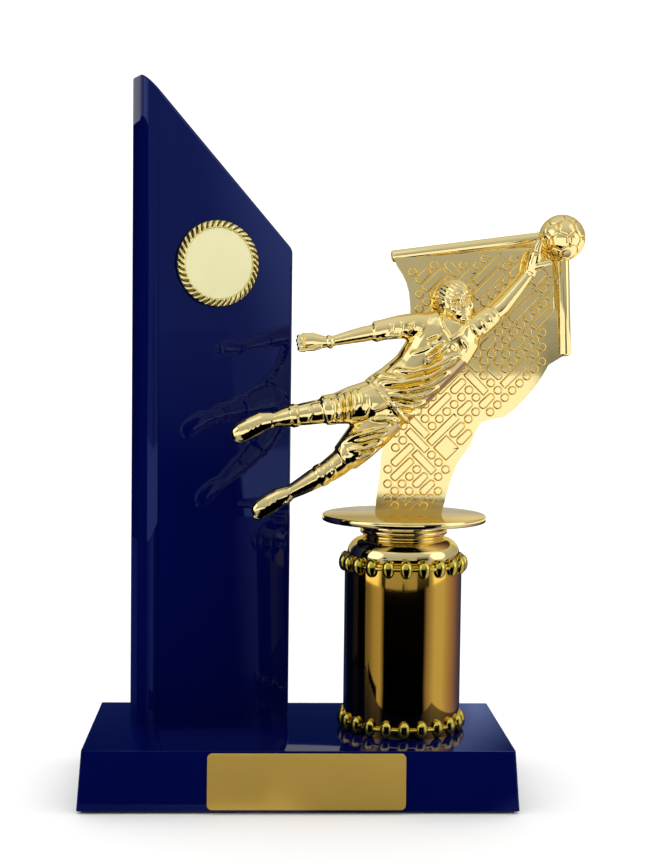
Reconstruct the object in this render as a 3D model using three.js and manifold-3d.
// Column trophy: a lacquered base carries a slanted back panel with a round medal, and a foil column
// between two beaded rings, on which a diving goalkeeper figure stands in front of a goal net.
// Millimetres, +Z up. The origin is the middle of the underside, +X to the right, -Y to the front.
import * as THREE from "three";
import { mergeVertices } from "three/addons/utils/BufferGeometryUtils.js";
import Module from "manifold-3d";

// ---------------------------------------------------------------- driving dimensions
const TOUCH_GAP = 0.3; // between a piece and a neighbour that cuts it
const THREAD_GAP = 0.3; // between a screw or rod and the hole it passes
const FOIL_GAP = 0.05; // between flat glued pieces on turned faces

// Base block and what is let into it
const BASE_WIDTH = 150;
const BASE_DEPTH = 75;
const BASE_TOP = 21.3; // top face above the table
const BASE_DRAFT = 1.45; // how far each side leans in from bottom to top
const BASE_CORNER = 0.8;
const FELT_THICKNESS = 1;
const FELT_INSET = 1.5;

// Engraving plate on the front of the base
const PLATE_WIDTH = 67.2;
const PLATE_MARGIN = 0.65; // bare face above and below the plate
const PLATE_THICKNESS = 0.6;
const PLATE_CORNER = 1.7;
const PLATE_OFFSET = 2.5; // to the right of the middle of the base
const PLATE_TAPE_MARGIN = 2;
const PLATE_TAPE_THICKNESS = 0.2;

// Slanted back panel, on its own turned axes: x across its face, y into its thickness
const PANEL_X = -32;
const PANEL_FROM_BACK = 19.6; // its middle, in front of the back of the base
const PANEL_TURN = THREE.MathUtils.degToRad(21);
const PANEL_WIDTH = 57;
const PANEL_THICKNESS = 16;
const PANEL_HIGH_SIDE = 232.4; // height of its left edge above the base
const PANEL_LOW_SIDE = 171.6; // height of its right edge above the base
const PANEL_NOSE_RADIUS = 6; // front left vertical edge
const PANEL_EDGE_RADIUS = 1.5; // the other vertical edges
const PANEL_SCREW_SPACING = 32;

// Wood screws that hold the panel from below
const SCREW_RADIUS = 2;
const SCREW_LENGTH = 34;
const SCREW_HEAD_RADIUS = 4;
const SCREW_HEAD_HEIGHT = 2.6;
const SCREW_HEAD_DEPTH = 4; // from the underside of the block to the head's seat
const SCREW_TIP = 4;

// Round medal on the panel
const MEDAL_X = -1.2;
const MEDAL_HEIGHT = 165.7; // its middle above the base
const INSERT_RADIUS = 12.7;
const INSERT_THICKNESS = 0.9;
const MEDAL_RIM_WIDTH = 2.8; // outside the insert
const MEDAL_RIM_THICKNESS = 2.2;
const MEDAL_RIM_BEVEL = 1.3;
const MEDAL_FLOOR = 0.8;
const MEDAL_TAPE_INSET = 0.7; // inside the edge of the insert
const MEDAL_TAPE_THICKNESS = 0.8;

// Column
const COLUMN_X = 37.4;
const TUBE_RADIUS = 21;
const TUBE_WALL = 1.2;
const TUBE_HEIGHT = 61;
const PLUG_HEIGHT = 9;
const PLUG_WALL = 1.6;
const BEAD_COUNT = 21;
const BEAD_PHASE = THREE.MathUtils.degToRad(-92); // one bead lies just left of the front
const BEAD_SEAT = 0.3; // of the bead middles outside the tube
const BEAD_RADIAL = 1.9; // half sizes of one bead
const BEAD_SIDEWAYS = 2.15;
const BEAD_UPRIGHT = 3.2;
const BEAD_BAND_WALL = 0.7;
const BEAD_BAND_HEIGHT = 1.7;
const UPPER_RING_DROP = 1.4; // of the upper bead middles below the top of the tube

// Threaded rod that clamps the column, with its washer and nut, and the figure's own nut
const ROD_RADIUS = 3;
const ROD_RECESS = 1.4; // of its lower end above the pad
const ROD_TIP_GAP = 2.1; // above its upper end, in the socket of the boss
const NUT_WALL = 1.7;
const NUT_HEIGHT = 5;
const WASHER_RADIUS = 7;
const WASHER_THICKNESS = 1.2;
const COUNTERBORE_CLEARANCE = 2; // round the washer
const COUNTERBORE_DEPTH = 8;

// Figure stage: everything above the cap
const DISC_RADIUS = 29.3;
const DISC_THICKNESS = 2.4;
const DISC_EDGE = 0.5; // bevel of its rim
const BOSS_WALL = 2.5; // round the corners of the nut's socket
const BOSS_LENGTH = 9;
const SOCKET_ROOF = 1; // between the socket and the underside of the disc
const FIGURE_NUT_WALL = 0.7;
const FIGURE_NUT_HEIGHT = 7;
const NET_Y = 2; // middle plane of the net
const NET_THICKNESS = 2.4;
const CROSSBAR_RADIUS = 2.2;
const POST_RADIUS = 2.3;
const BALL_RADIUS = 8.3;

// Cap on the column
const STAGE_GAP = 0.05; // running gap between the cap and the turning disc
const BOSS_CLEARANCE = 0.5; // round the boss, in the cap's bore
const CAP_STEP = 0.8; // from the tube in to the cap's shoulder
const CAP_SHOULDER_RISE = 7.6;
const CAP_SHOULDER_SIDE = 1.5; // upright side under the dome
const CAP_NECK_RADIUS = 14.6;
const CAP_NECK_RISE = 0.9;
const CAP_COLLAR_WIDTH = 1; // outside the neck
const CAP_COLLAR_SLOPE = 0.8;
const CAP_COLLAR_HEIGHT = 1.8;
const CAP_COLLAR_RISE = 4.95;

// From here on, places on the figure stage are given from the middle of the disc's top.
const BALL_CENTRE = [55, 0, 99];

// Ends of the goal frame, worked out from the ball, which covers its corner
const CROSSBAR_LEFT = [-5.6, NET_Y, 91.65];
const GOAL_CORNER = [55.4, NET_Y, 100.45];
const POST_FOOT = [57.2, NET_Y, 57];

// Net outline, as seen from the front, from the disc up its left side and down its right side
const NET_LEFT = [
  [-10.2, 0],
  [-10, 4.8],
  [-8.7, 13.8],
  [-7.9, 23.8],
  [-2.4, 41.8],
  [1.2, 59.8],
  [1.1, 76.8],
  [-1.1, 84.2],
  [-5.4, 90.8],
];
const NET_RIGHT = [
  [53, 57.2],
  [48.2, 48.5],
  [43.1, 42],
  [36.1, 35.4],
  [27.4, 33],
  [23.2, 24.4],
  [18.8, 17.8],
  [16, 9.8],
  [13.6, 0],
];

// Goalkeeper: each limb is a chain of [x, y, z, radius] along the body
const KEEPER = {
  torso: [
    [17.1, -8.3, 64.8, 7.4],
    [9.6, -8.5, 55.8, 8.4],
    [-1.4, -8.9, 44.8, 8.2],
    [-9.4, -9.4, 36.8, 8],
  ],
  shoulders: [
    [5.6, -8.6, 65.3, 5],
    [25.1, -8, 66.8, 4.8],
  ],
  neck: [
    [15.6, -9, 65.8, 3.6],
    [16.4, -9.4, 70.8, 3.6],
  ],
  head: [
    [16.4, -9.6, 73.4, 5.6],
    [16.7, -9.4, 77, 6.2],
  ],
  left_arm: [
    [5.6, -8.6, 66.1, 4.6],
    [-12.4, -10.5, 64.6, 3.9],
    [-27.7, -12, 61.2, 2.8],
    [-35.8, -12.6, 60.6, 3.6],
  ],
  right_arm: [
    [25.1, -8, 67.8, 4.6],
    [34.6, -6.4, 76.8, 3.4],
    [43.5, -4.6, 86.5, 2.7],
    [47.2, -3.4, 91, 3],
  ],
  upper_leg: [
    [-10.4, -10, 39.8, 7.4],
    [-21.4, -11, 38.8, 6.6],
    [-35.4, -12, 36.4, 5.2],
    [-48, -12.4, 33.4, 3.6],
  ],
  upper_boot: [
    [-48, -12.4, 32.4, 4],
    [-57.8, -12.6, 28.4, 2.8],
  ],
  lower_leg: [
    [-8.4, -8.8, 33.8, 7.6],
    [-17.4, -9.4, 23.8, 7],
    [-28.9, -10.8, 14.6, 5.2],
    [-41.8, -12, 8.1, 3.6],
  ],
  lower_boot: [
    [-42, -12, 7.4, 3.9],
    [-51, -12.6, 2.4, 2.9],
  ],
};

// ---------------------------------------------------------------- worked out from them
const BLOCK_HEIGHT = BASE_TOP - FELT_THICKNESS;
const BASE_LEAN = Math.atan(BASE_DRAFT / BLOCK_HEIGHT);
const PLATE_HEIGHT = BLOCK_HEIGHT - 2 * PLATE_MARGIN;
const PANEL_Y = BASE_DEPTH / 2 - PANEL_FROM_BACK;
const SCREW_HOLE_RADIUS = SCREW_RADIUS + THREAD_GAP;
const ROD_HOLE_RADIUS = ROD_RADIUS + THREAD_GAP;
const NUT_FLATS = 2 * (ROD_HOLE_RADIUS + NUT_WALL);
const COUNTERBORE_RADIUS = WASHER_RADIUS + COUNTERBORE_CLEARANCE;
const FIGURE_NUT_FLATS = 2 * (ROD_HOLE_RADIUS + FIGURE_NUT_WALL);
const SOCKET_FLATS = FIGURE_NUT_FLATS + 2 * THREAD_GAP;
const BOSS_RADIUS = SOCKET_FLATS / 2 / Math.cos(Math.PI / 6) + BOSS_WALL;
const CAP_HEIGHT = CAP_SHOULDER_RISE + CAP_NECK_RISE + CAP_COLLAR_RISE;
const DISC_UNDERSIDE = BASE_TOP + TUBE_HEIGHT + CAP_HEIGHT + STAGE_GAP;
const DISC_TOP = DISC_UNDERSIDE + DISC_THICKNESS;
const SOCKET_TOP = DISC_UNDERSIDE - SOCKET_ROOF;
const ROD_BOTTOM = FELT_THICKNESS + ROD_RECESS;
const ROD_TOP = SOCKET_TOP - ROD_TIP_GAP;

// ---------------------------------------------------------------- helpers
const wasm = await Module();
wasm.setup();

// Number of flats on round pieces: what fits inside another has the same number.
const ROUND_SIDES = 24;
const TUBE_SIDES = 2 * BEAD_COUNT;
const SMALL_SIDES = 12;
const LIMB_SIDES = 6; // of the coarse balls and bars of beads and limbs
const LIMB_LEVELS = 4;
const BALL_SIDES = 16;
const BALL_LEVELS = 10;
const DOME_STEPS = 5;
const NET_STEPS = 2; // between two points of the net's outline
const CORNER_STEPS = 3; // of a small rounded corner
const ROUNDING_STEPS = 6; // of a large one
const PAST = 2; // how far a cutting tool runs out past what it cuts

// A closed three.js geometry, or a mesh in its own place, as a solid for joins and cuts.
function solid(geometry) {
  const bare = geometry.clone();
  bare.deleteAttribute("normal");
  bare.deleteAttribute("uv");
  const merged = mergeVertices(bare, 1e-4);
  return new wasm.Manifold(
    new wasm.Mesh({
      numProp: 3,
      vertProperties: merged.attributes.position.array,
      triVerts: new Uint32Array(merged.index.array),
    }),
  );
}

function geometryOf(shape) {
  const made = shape.getMesh();
  const geometry = new THREE.BufferGeometry();
  geometry.setAttribute("position", new THREE.BufferAttribute(made.vertProperties, 3));
  geometry.setIndex(new THREE.BufferAttribute(made.triVerts, 1));
  const flat = geometry.toNonIndexed();
  flat.computeVertexNormals();
  return flat;
}

const cut = (shape, ...tools) => tools.reduce((left, tool) => left.subtract(tool), shape);
const join = (first, ...others) => others.reduce((sum, other) => sum.add(other), first);

const MATERIALS = {
  navy: { color: 0x03103f, roughness: 0.08, metalness: 0 },
  felt: { color: 0x08080a, roughness: 1, metalness: 0 },
  plate_gold: { color: 0xa08840, roughness: 0.4, metalness: 1 },
  medal_gold: { color: 0xe6d27a, roughness: 0.2, metalness: 1 },
  insert_gold: { color: 0xe6e1a8, roughness: 0.45, metalness: 1 },
  foil: { color: 0x8a6a30, roughness: 0.15, metalness: 1 },
  bead_gold: { color: 0xb8a53c, roughness: 0.12, metalness: 1 },
  figure_gold: { color: 0xe2c684, roughness: 0.12, metalness: 1 },
  steel: { color: 0xb5b8bc, roughness: 0.35, metalness: 1 },
  black_plastic: { color: 0x111113, roughness: 0.5, metalness: 0 },
  tape: { color: 0xe8e6dc, roughness: 0.8, metalness: 0 },
};

function piece(name, geometry, material) {
  const mesh = new THREE.Mesh(geometry, new THREE.MeshStandardMaterial(MATERIALS[material]));
  mesh.name = name;
  return mesh;
}

function groupAt(x, y, z, ...children) {
  const group = new THREE.Group();
  group.position.set(x, y, z);
  group.add(...children);
  return group;
}

// Rectangle centred on the origin, with one radius per corner: front left, front right, back right,
// back left.
function roundedRectangle(width, depth, radii) {
  const x = width / 2;
  const y = depth / 2;
  const [a, b, c, d] = radii;
  const shape = new THREE.Shape();
  shape.moveTo(-x + a, -y);
  shape.lineTo(x - b, -y);
  shape.absarc(x - b, -y + b, b, -Math.PI / 2, 0);
  shape.lineTo(x, y - c);
  shape.absarc(x - c, y - c, c, 0, Math.PI / 2);
  shape.lineTo(-x + d, y);
  shape.absarc(-x + d, y - d, d, Math.PI / 2, Math.PI);
  shape.lineTo(-x, -y + a);
  shape.absarc(-x + a, -y + a, a, Math.PI, 1.5 * Math.PI);
  return shape;
}

const sameCorners = (radius) => [radius, radius, radius, radius];

const slab = (shape, thickness, curveSegments = ROUNDING_STEPS) =>
  new THREE.ExtrudeGeometry(shape, { depth: thickness, bevelEnabled: false, curveSegments });

// Cylinder along +Z that stands on height `bottom`.
function rod(radius, bottom, length, segments = ROUND_SIDES) {
  return new THREE.CylinderGeometry(radius, radius, length, segments)
    .rotateX(Math.PI / 2)
    .translate(0, 0, bottom + length / 2);
}

// Hexagonal bar along +Z, given across its flats.
const hexagon = (flats, bottom, length) =>
  rod(flats / 2 / Math.cos(Math.PI / 6), bottom, length, 6);

// Turned piece around +Z from a closed [radius, height] outline that runs counter-clockwise.
function turned(outline, segments = ROUND_SIDES) {
  const points = [...outline, outline[0]].map(([r, z]) => new THREE.Vector2(r, z));
  return new THREE.LatheGeometry(points, segments).rotateX(Math.PI / 2);
}

// Ring between two radii and two heights.
const ring = (inner, outer, bottom, top, segments) =>
  turned([[inner, bottom], [outer, bottom], [outer, top], [inner, top]], segments);

// Nut along +Z with a plain hole.
function nut(flats, bottom, height) {
  const hole = rod(ROD_HOLE_RADIUS, bottom - PAST, height + 2 * PAST);
  return geometryOf(cut(solid(hexagon(flats, bottom, height)), solid(hole)));
}

// Coarse ball with its poles up and down.
const ball = (radius, sides, levels) =>
  new THREE.SphereGeometry(radius, sides, levels).rotateX(Math.PI / 2);

// Round bar from one point to another, which may taper.
function barBetween(from, to, startRadius, endRadius = startRadius, segments = SMALL_SIDES) {
  const start = new THREE.Vector3(...from);
  const along = new THREE.Vector3(...to).sub(start);
  const geometry = new THREE.CylinderGeometry(endRadius, startRadius, along.length(), segments);
  const turn = new THREE.Quaternion().setFromUnitVectors(
    new THREE.Vector3(0, 1, 0),
    along.clone().normalize(),
  );
  return geometry.applyQuaternion(turn).translate(...start.addScaledVector(along, 0.5).toArray());
}

// ---------------------------------------------------------------- base
const panelScrewPlaces = [-1, 1].map((side) => {
  const along = (side * PANEL_SCREW_SPACING) / 2;
  return [
    PANEL_X + along * Math.cos(PANEL_TURN),
    PANEL_Y + along * Math.sin(PANEL_TURN),
  ];
});

function feltPad() {
  const outline = roundedRectangle(
    BASE_WIDTH - 2 * FELT_INSET,
    BASE_DEPTH - 2 * FELT_INSET,
    sameCorners(BASE_CORNER),
  );
  return piece("felt_pad", slab(outline, FELT_THICKNESS, CORNER_STEPS), "felt");
}

function baseBlock() {
  const outline = roundedRectangle(BASE_WIDTH, BASE_DEPTH, sameCorners(BASE_CORNER));
  const block = slab(outline, BLOCK_HEIGHT, CORNER_STEPS);
  const place = block.attributes.position;
  for (let i = 0; i < place.count; i += 1) {
    const lean = (BASE_DRAFT * place.getZ(i)) / BLOCK_HEIGHT;
    place.setX(i, place.getX(i) * (1 - lean / (BASE_WIDTH / 2)));
    place.setY(i, place.getY(i) * (1 - lean / (BASE_DEPTH / 2)));
  }
  block.translate(0, 0, FELT_THICKNESS);
  const rodHole = rod(ROD_HOLE_RADIUS, 0, BASE_TOP + PAST).translate(COLUMN_X, 0, 0);
  const nutHole = rod(COUNTERBORE_RADIUS, 0, FELT_THICKNESS + COUNTERBORE_DEPTH)
    .translate(COLUMN_X, 0, 0);
  const screwHoles = panelScrewPlaces.flatMap(([x, y]) => [
    rod(SCREW_HOLE_RADIUS, 0, BASE_TOP + PAST, SMALL_SIDES).translate(x, y, 0),
    rod(
      SCREW_HEAD_RADIUS + THREAD_GAP,
      0,
      FELT_THICKNESS + SCREW_HEAD_DEPTH,
      SMALL_SIDES,
    ).translate(x, y, 0),
  ]);
  const drilled = cut(solid(block), ...[rodHole, nutHole, ...screwHoles].map(solid));
  return piece("base_block", geometryOf(drilled), "navy");
}

// The plate and its tape stand on the leaning front face; local +Z points out of it.
function namePlate() {
  const radii = sameCorners(PLATE_CORNER);
  const plate = slab(roundedRectangle(PLATE_WIDTH, PLATE_HEIGHT, radii), PLATE_THICKNESS)
    .translate(0, 0, 2 * FOIL_GAP + PLATE_TAPE_THICKNESS);
  const tape = slab(
    roundedRectangle(
      PLATE_WIDTH - 2 * PLATE_TAPE_MARGIN,
      PLATE_HEIGHT - 2 * PLATE_TAPE_MARGIN,
      radii,
    ),
    PLATE_TAPE_THICKNESS,
    CORNER_STEPS,
  ).translate(0, 0, FOIL_GAP);
  const group = groupAt(
    PLATE_OFFSET,
    -(BASE_DEPTH - BASE_DRAFT) / 2,
    FELT_THICKNESS + BLOCK_HEIGHT / 2,
    piece("name_plate", plate, "plate_gold"),
    piece("plate_tape", tape, "tape"),
  );
  group.rotation.x = Math.PI / 2 - BASE_LEAN;
  return group;
}

// ---------------------------------------------------------------- back panel and medal
function panelBoard() {
  const edge = PANEL_EDGE_RADIUS;
  const outline = roundedRectangle(PANEL_WIDTH, PANEL_THICKNESS, [
    PANEL_NOSE_RADIUS,
    edge,
    edge,
    edge,
  ]);
  const board = solid(slab(outline, PANEL_HIGH_SIDE));
  const slope = (PANEL_HIGH_SIDE - PANEL_LOW_SIDE) / PANEL_WIDTH;
  const x = PANEL_WIDTH / 2 + PAST;
  const waste = new THREE.Shape([
    new THREE.Vector2(-x, PANEL_HIGH_SIDE + PAST * slope),
    new THREE.Vector2(x, PANEL_LOW_SIDE - PAST * slope),
    new THREE.Vector2(x, PANEL_HIGH_SIDE + x),
    new THREE.Vector2(-x, PANEL_HIGH_SIDE + x),
  ]);
  const sawCut = slab(waste, PANEL_THICKNESS + 2 * PAST)
    .rotateX(Math.PI / 2)
    .translate(0, PANEL_THICKNESS / 2 + PAST, 0);
  const pilotDepth = SCREW_LENGTH + THREAD_GAP - (BLOCK_HEIGHT - SCREW_HEAD_DEPTH);
  const pilots = [-1, 1].map((side) =>
    rod(SCREW_HOLE_RADIUS, -PAST, pilotDepth + PAST, SMALL_SIDES)
      .translate((side * PANEL_SCREW_SPACING) / 2, 0, 0),
  );
  return piece("back_panel", geometryOf(cut(board, ...[sawCut, ...pilots].map(solid))), "navy");
}

function medal() {
  const tapeTop = FOIL_GAP + MEDAL_TAPE_THICKNESS;
  const rimBack = tapeTop + FOIL_GAP;
  const floor = rimBack + MEDAL_FLOOR;
  const rimFront = rimBack + MEDAL_RIM_THICKNESS;
  const wellRadius = INSERT_RADIUS + FOIL_GAP;
  const rimRadius = INSERT_RADIUS + MEDAL_RIM_WIDTH;
  const rim = turned([
    [0, rimBack],
    [rimRadius, rimBack],
    [rimRadius, rimFront - MEDAL_RIM_BEVEL],
    [rimRadius - MEDAL_RIM_BEVEL, rimFront],
    [wellRadius, rimFront],
    [wellRadius, floor],
    [0, floor],
  ]);
  const insert = rod(INSERT_RADIUS, floor + FOIL_GAP, INSERT_THICKNESS);
  const tape = rod(INSERT_RADIUS - MEDAL_TAPE_INSET, FOIL_GAP, MEDAL_TAPE_THICKNESS);
  const group = groupAt(
    MEDAL_X,
    -PANEL_THICKNESS / 2,
    MEDAL_HEIGHT,
    piece("medal_rim", rim, "medal_gold"),
    piece("medal_insert", insert, "insert_gold"),
    piece("medal_tape", tape, "tape"),
  );
  group.rotation.x = Math.PI / 2;
  return group;
}

function backPanel() {
  const group = groupAt(PANEL_X, PANEL_Y, BASE_TOP, panelBoard(), medal());
  group.rotation.z = PANEL_TURN;
  return group;
}

function panelScrew(number, [x, y]) {
  const seat = FELT_THICKNESS + SCREW_HEAD_DEPTH;
  const screw = turned(
    [
      [0, seat - SCREW_HEAD_HEIGHT],
      [SCREW_HEAD_RADIUS, seat - SCREW_HEAD_HEIGHT],
      [SCREW_HEAD_RADIUS, seat],
      [SCREW_RADIUS, seat],
      [SCREW_RADIUS, seat + SCREW_LENGTH - SCREW_TIP],
      [0, seat + SCREW_LENGTH],
    ],
    SMALL_SIDES,
  );
  return groupAt(x, y, 0, piece(`panel_screw_${number}`, screw, "steel"));
}

// ---------------------------------------------------------------- column
// Ring of beads joined by a band. It is cut clear of the tube that it goes round.
function beadRing(name, height) {
  const clear = TUBE_RADIUS + TOUCH_GAP;
  const halfBand = BEAD_BAND_HEIGHT / 2;
  const outside = clear + BEAD_BAND_WALL;
  const band = ring(clear, outside, height - halfBand, height + halfBand, TUBE_SIDES);
  const beads = Array.from({ length: BEAD_COUNT }, (_, i) => {
    const angle = BEAD_PHASE + (i * 2 * Math.PI) / BEAD_COUNT;
    return ball(1, LIMB_SIDES, LIMB_LEVELS)
      .scale(BEAD_RADIAL, BEAD_SIDEWAYS, BEAD_UPRIGHT)
      .translate(TUBE_RADIUS + BEAD_SEAT, 0, height)
      .rotateZ(angle);
  });
  const bore = rod(clear, height - 2 * BEAD_UPRIGHT, 4 * BEAD_UPRIGHT, TUBE_SIDES);
  const whole = join(solid(band), ...beads.map(solid));
  return piece(name, geometryOf(cut(whole, solid(bore))), "bead_gold");
}

// Cup that centres one end of the tube on the rod, its floor at `floor`, opening up or down.
function tubePlug(name, floor, opens) {
  const outer = TUBE_RADIUS - TUBE_WALL - TOUCH_GAP;
  const inner = outer - PLUG_WALL;
  const outline = [
    [ROD_HOLE_RADIUS, 0],
    [outer, 0],
    [outer, PLUG_HEIGHT],
    [inner, PLUG_HEIGHT],
    [inner, PLUG_WALL],
    [ROD_HOLE_RADIUS, PLUG_WALL],
  ];
  const cup = turned(outline, TUBE_SIDES);
  if (opens === "down") cup.rotateX(Math.PI);
  return piece(name, cup.translate(0, 0, floor), "black_plastic");
}

function columnCap() {
  const bore = BOSS_RADIUS + BOSS_CLEARANCE;
  const shoulder = TUBE_HEIGHT;
  const shoulderRadius = TUBE_RADIUS - CAP_STEP;
  const domeFoot = shoulder + CAP_SHOULDER_SIDE;
  const neckFoot = shoulder + CAP_SHOULDER_RISE;
  const collar = neckFoot + CAP_NECK_RISE;
  const collarRadius = CAP_NECK_RADIUS + CAP_COLLAR_WIDTH;
  const collarTop = collar + CAP_COLLAR_SLOPE + CAP_COLLAR_HEIGHT;
  const dome = Array.from({ length: DOME_STEPS + 1 }, (_, i) => {
    const turn = (i * Math.PI) / 2 / DOME_STEPS;
    return [
      CAP_NECK_RADIUS + (shoulderRadius - CAP_NECK_RADIUS) * Math.cos(turn),
      domeFoot + (neckFoot - domeFoot) * Math.sin(turn),
    ];
  });
  const outline = [
    [bore, shoulder],
    [shoulderRadius, shoulder],
    ...dome,
    [CAP_NECK_RADIUS, collar],
    [collarRadius, collar + CAP_COLLAR_SLOPE],
    [collarRadius, collarTop],
    [CAP_NECK_RADIUS, collarTop + CAP_COLLAR_WIDTH],
    [CAP_NECK_RADIUS, shoulder + CAP_HEIGHT],
    [bore, shoulder + CAP_HEIGHT],
  ];
  return piece("column_cap", turned(outline), "figure_gold");
}

function column() {
  const tube = ring(TUBE_RADIUS - TUBE_WALL, TUBE_RADIUS, 0, TUBE_HEIGHT, TUBE_SIDES);
  return groupAt(
    COLUMN_X,
    0,
    BASE_TOP,
    piece("column_tube", tube, "foil"),
    beadRing("lower_bead_ring", BEAD_UPRIGHT),
    beadRing("upper_bead_ring", TUBE_HEIGHT - UPPER_RING_DROP),
    tubePlug("lower_plug", 0, "up"),
    tubePlug("upper_plug", TUBE_HEIGHT, "down"),
    columnCap(),
  );
}

// ---------------------------------------------------------------- rod and its fasteners
function fasteners() {
  const seat = FELT_THICKNESS + COUNTERBORE_DEPTH;
  const washerBottom = seat - WASHER_THICKNESS;
  const bar = rod(ROD_RADIUS, ROD_BOTTOM, ROD_TOP - ROD_BOTTOM);
  const washer = ring(ROD_HOLE_RADIUS, WASHER_RADIUS, washerBottom, seat, ROUND_SIDES);
  return groupAt(
    COLUMN_X,
    0,
    0,
    piece("threaded_rod", bar, "steel"),
    piece("rod_washer", washer, "steel"),
    piece("rod_nut", nut(NUT_FLATS, washerBottom - NUT_HEIGHT, NUT_HEIGHT), "steel"),
    piece(
      "figure_nut",
      nut(FIGURE_NUT_FLATS, SOCKET_TOP - THREAD_GAP - FIGURE_NUT_HEIGHT, FIGURE_NUT_HEIGHT),
      "steel",
    ),
  );
}

// ---------------------------------------------------------------- figure stage
// Everything here is made round the middle of the disc's top.
function figureDisc() {
  const rim = DISC_RADIUS - DISC_EDGE;
  const plate = turned([
    [0, -DISC_THICKNESS],
    [rim, -DISC_THICKNESS],
    [DISC_RADIUS, DISC_EDGE - DISC_THICKNESS],
    [DISC_RADIUS, -DISC_EDGE],
    [rim, 0],
    [0, 0],
  ]);
  const bossBottom = -DISC_THICKNESS - BOSS_LENGTH;
  const boss = rod(BOSS_RADIUS, bossBottom, BOSS_LENGTH + DISC_THICKNESS / 2);
  const socketDepth = BOSS_LENGTH - SOCKET_ROOF;
  const socket = hexagon(SOCKET_FLATS, bossBottom - PAST, socketDepth + PAST);
  const made = cut(join(solid(plate), solid(boss)), solid(socket));
  return piece("figure_disc", geometryOf(made), "figure_gold");
}

const ballSolid = (gap) =>
  solid(ball(BALL_RADIUS + gap, BALL_SIDES, BALL_LEVELS).translate(...BALL_CENTRE));

const crossbarSolid = (gap) =>
  solid(barBetween(CROSSBAR_LEFT, GOAL_CORNER, CROSSBAR_RADIUS + gap));

const postSolid = (gap) => solid(barBetween(POST_FOOT, GOAL_CORNER, POST_RADIUS + gap));

function goalNet() {
  const point = ([x, z]) => new THREE.Vector2(x, z);
  const left = NET_LEFT.map(point);
  const right = NET_RIGHT.map(point);
  const corner = point([GOAL_CORNER[0], GOAL_CORNER[2]]);
  const outline = new THREE.Shape();
  outline.moveTo(left[0].x, left[0].y);
  outline.splineThru(left.slice(1));
  outline.lineTo(corner.x, corner.y);
  outline.lineTo(right[0].x, right[0].y);
  outline.splineThru(right.slice(1));
  const sheet = slab(outline, NET_THICKNESS, NET_STEPS)
    .rotateX(Math.PI / 2)
    .translate(0, NET_Y + NET_THICKNESS / 2, 0);
  const whole = cut(
    solid(sheet),
    crossbarSolid(TOUCH_GAP),
    postSolid(TOUCH_GAP),
    ballSolid(TOUCH_GAP),
  );
  const bodies = whole.decompose().sort((a, b) => b.volume() - a.volume());
  return piece("goal_net", geometryOf(bodies[0]), "figure_gold");
}

function goalFrame() {
  const crossbar = cut(crossbarSolid(0), ballSolid(TOUCH_GAP), postSolid(TOUCH_GAP));
  const post = cut(postSolid(0), ballSolid(TOUCH_GAP));
  return [
    piece("crossbar", geometryOf(crossbar), "figure_gold"),
    piece("goal_post", geometryOf(post), "figure_gold"),
  ];
}

function football() {
  return piece("football", geometryOf(ballSolid(0)), "figure_gold");
}

// A limb: a ball at each of its points, joined by tapered bars.
function limb(points) {
  const balls = points.map(([x, y, z, radius]) =>
    solid(ball(radius, LIMB_SIDES, LIMB_LEVELS).translate(x, y, z)),
  );
  const bars = points.slice(1).map((to, i) => {
    const from = points[i];
    return solid(barBetween(from.slice(0, 3), to.slice(0, 3), from[3], to[3], LIMB_SIDES));
  });
  return join(...balls, ...bars);
}

function goalkeeper() {
  const limbs = Object.values(KEEPER).map(limb);
  const netFront = NET_Y - NET_THICKNESS / 2 - TOUCH_GAP;
  const reach = 4 * BALL_CENTRE[2]; // of a block that takes away all that lies behind the net's front
  const behind = new THREE.BoxGeometry(reach, reach, reach).translate(0, netFront + reach / 2, 0);
  const shape = cut(join(...limbs), solid(behind), ballSolid(TOUCH_GAP));
  return piece("goalkeeper", geometryOf(shape), "figure_gold");
}

const trophy = new THREE.Group();
trophy.add(
  feltPad(),
  baseBlock(),
  namePlate(),
  backPanel(),
  ...panelScrewPlaces.map((place, i) => panelScrew(i + 1, place)),
  column(),
  fasteners(),
  groupAt(
    COLUMN_X,
    0,
    DISC_TOP,
    figureDisc(),
    goalNet(),
    ...goalFrame(),
    football(),
    goalkeeper(),
  ),
);

export default trophy;
